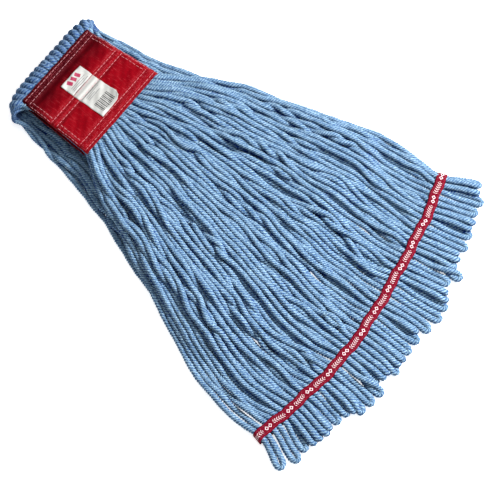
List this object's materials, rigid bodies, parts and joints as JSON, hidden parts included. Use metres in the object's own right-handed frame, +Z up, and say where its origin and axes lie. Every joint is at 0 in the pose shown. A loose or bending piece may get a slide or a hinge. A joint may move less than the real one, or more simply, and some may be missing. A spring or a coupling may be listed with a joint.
{
  "type": "looped-end wet mop head",
  "caption": "Looped-end wet mop head with a wide mesh headband, lying folded so that one yarn tail is under the other; the fold, the front tail and the label flaps swing.",
  "frame": {"origin": "middle of the footprint, on the floor that the mop head lies on", "axes": "+X along the strands from the fold towards the fringe, +Y across the strands to the right edge, +Z up from the floor"},
  "size_m": [0.693, 0.5116, 0.0466],
  "materials": {
    "yarn": "matte four-ply twisted cotton and synthetic yarn, pale steel blue",
    "mesh": "red coated mesh cloth, satin gloss",
    "tape": "red woven tape with a small white woven pattern",
    "thread": "pale sewing thread",
    "label": null
  },
  "bodies": {
    "back_tail": {"back_yarn_bundle_1": "yarn", "back_yarn_bundle_2": "yarn", "back_yarn_bundle_3": "yarn", "back_yarn_bundle_4": "yarn", "back_yarn_bundle_5": "yarn", "back_yarn_bundle_6": "yarn", "back_tail_tape": "tape", "back_tape_stitches": "thread"},
    "headband": {"headband_front_panel": "mesh", "headband_back_panel": "mesh", "headband_yarn": "yarn", "fold_edge_stitches": "thread", "centre_seam_stitches": "thread", "tail_edge_stitches": "thread", "left_hem_stitches": "thread", "right_hem_stitches": "thread", "label_centre": "label"},
    "front_tail": {"front_yarn_bundle_1": "yarn", "front_yarn_bundle_2": "yarn", "front_yarn_bundle_3": "yarn", "front_yarn_bundle_4": "yarn", "front_yarn_bundle_5": "yarn", "front_yarn_bundle_6": "yarn", "front_tail_tape": "tape", "front_tape_stitches": "thread"},
    "label_fold_side": {"label_fold_flap": "label"},
    "label_tail_side": {"label_tail_flap": "label"}
  },
  "joints": [
    {"name": "fold_hinge", "type": "hinge", "parent": "back_tail", "child": "headband", "pos_m": [-0.34665, 0, 0.02287], "axis": [0, -1, 0], "range_deg": [0, 178]},
    {"name": "front_tail_hinge", "type": "hinge", "parent": "headband", "child": "front_tail", "pos_m": [-0.19135, 0, 0.04515], "axis": [0, -1, 0], "range_deg": [0, 90]},
    {"name": "label_fold_flap_hinge", "type": "hinge", "parent": "headband", "child": "label_fold_side", "pos_m": [-0.26515, 0, 0.04605], "axis": [0, 1, 0], "range_deg": [0, 90]},
    {"name": "label_tail_flap_hinge", "type": "hinge", "parent": "headband", "child": "label_tail_side", "pos_m": [-0.25185, 0, 0.04605], "axis": [0, -1, 0], "range_deg": [0, 90]}
  ]
}
